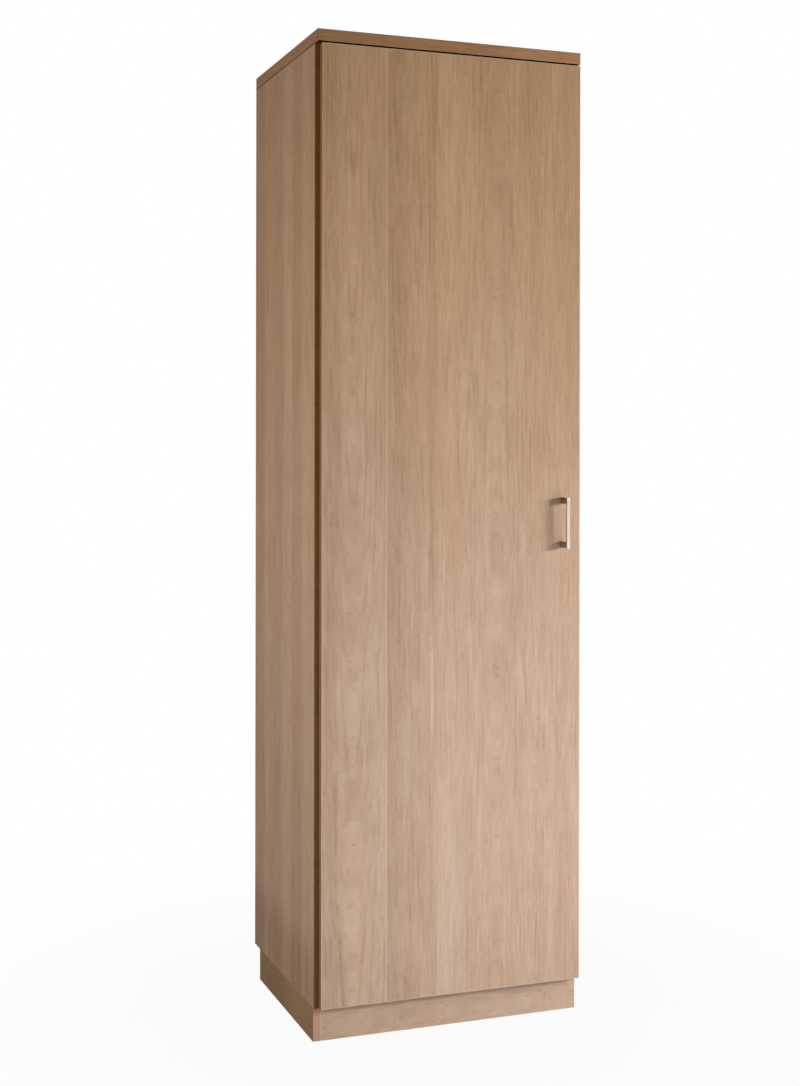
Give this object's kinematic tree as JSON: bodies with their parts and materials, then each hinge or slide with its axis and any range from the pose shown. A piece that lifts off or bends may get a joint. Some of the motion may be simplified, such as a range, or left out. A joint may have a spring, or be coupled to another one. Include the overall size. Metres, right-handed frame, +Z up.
{
  "type": "broom cupboard",
  "caption": "Tall narrow cupboard of wood-look boards on a recessed plinth, with a full-height door on concealed hinges that swings open and a short D handle.",
  "frame": {"origin": "on the floor, under the middle of the cupboard's outer box, handle included", "axes": "+X to the right seen from the front, +Y to the back, +Z up; the door faces -Y and is hinged at the left"},
  "size_m": [0.6, 0.533, 2.1],
  "materials": {
    "oak_laminate": "matt oak-look laminate, grain upright on door and sides",
    "oak_edge_band": "matt oak-look edge band",
    "back_board": "thin hardboard, printed face",
    "handle_metal": "bright polished",
    "hinge_steel": "nickel-plated pressed steel",
    "screw_steel": "zinc-plated",
    "cam_zinc": "die-cast zinc",
    "beech": "bare wood",
    "clear_bumper": "soft translucent"
  },
  "bodies": {
    "carcass": {"side_panel_left": "oak_laminate", "side_panel_right": "oak_laminate", "bottom_panel": "oak_laminate", "shelf": "oak_laminate", "top_panel": "oak_laminate", "back_panel": "back_board", "plinth_side_left": "oak_laminate", "plinth_side_right": "oak_laminate", "plinth_front": "oak_laminate", "plinth_rear": "oak_laminate", "plinth_blocks": "beech", "side_band_left": "oak_edge_band", "side_band_right": "oak_edge_band", "bottom_band": "oak_edge_band", "shelf_band": "oak_edge_band", "top_band_front": "oak_edge_band", "top_band_left": "oak_edge_band", "top_band_right": "oak_edge_band", "cam_locks": "cam_zinc", "cam_bolts": "screw_steel", "dowels": "beech", "door_bumpers": "clear_bumper", "hinge_1_arm": "hinge_steel", "hinge_1_plate": "hinge_steel", "hinge_2_arm": "hinge_steel", "hinge_2_plate": "hinge_steel", "hinge_3_arm": "hinge_steel", "hinge_3_plate": "hinge_steel", "hinge_4_arm": "hinge_steel", "hinge_4_plate": "hinge_steel", "hinge_arm_pins": "hinge_steel", "hinge_arm_screws": "screw_steel", "hinge_plate_screws": "screw_steel"},
    "outer_links": {"hinge_1_outer_link": "hinge_steel", "hinge_2_outer_link": "hinge_steel", "hinge_3_outer_link": "hinge_steel", "hinge_4_outer_link": "hinge_steel"},
    "inner_links": {"hinge_1_inner_link": "hinge_steel", "hinge_2_inner_link": "hinge_steel", "hinge_3_inner_link": "hinge_steel", "hinge_4_inner_link": "hinge_steel"},
    "door": {"door_panel": "oak_laminate", "door_band_left": "oak_edge_band", "door_band_right": "oak_edge_band", "door_band_low": "oak_edge_band", "door_band_high": "oak_edge_band", "handle": "handle_metal", "handle_screws": "screw_steel", "hinge_1_cup": "hinge_steel", "hinge_2_cup": "hinge_steel", "hinge_3_cup": "hinge_steel", "hinge_4_cup": "hinge_steel", "hinge_cup_pins": "hinge_steel", "hinge_cup_screws": "screw_steel"}
  },
  "joints": [
    {"name": "outer_link_swing", "type": "hinge", "parent": "carcass", "child": "outer_links", "pos_m": [-0.25456, -0.19942, 0.772], "axis": [0, 0, 1], "range_deg": [0, 29]},
    {"name": "door_swing", "type": "hinge", "parent": "outer_links", "child": "door", "pos_m": [-0.28049, -0.21431, 0.772], "axis": [0, 0, -1], "range_deg": [0, 123.8]},
    {"name": "inner_link_swing", "type": "hinge", "parent": "carcass", "child": "inner_links", "pos_m": [-0.2558, -0.22278, 0.772], "axis": [0, 0, 1], "range_deg": [0, 44.7]}
  ],
  "couplings": [
    {"joint": "outer_link_swing", "follows": "door_swing", "ratio": 0.23297},
    {"joint": "inner_link_swing", "follows": "door_swing", "ratio": 0.35932}
  ]
}
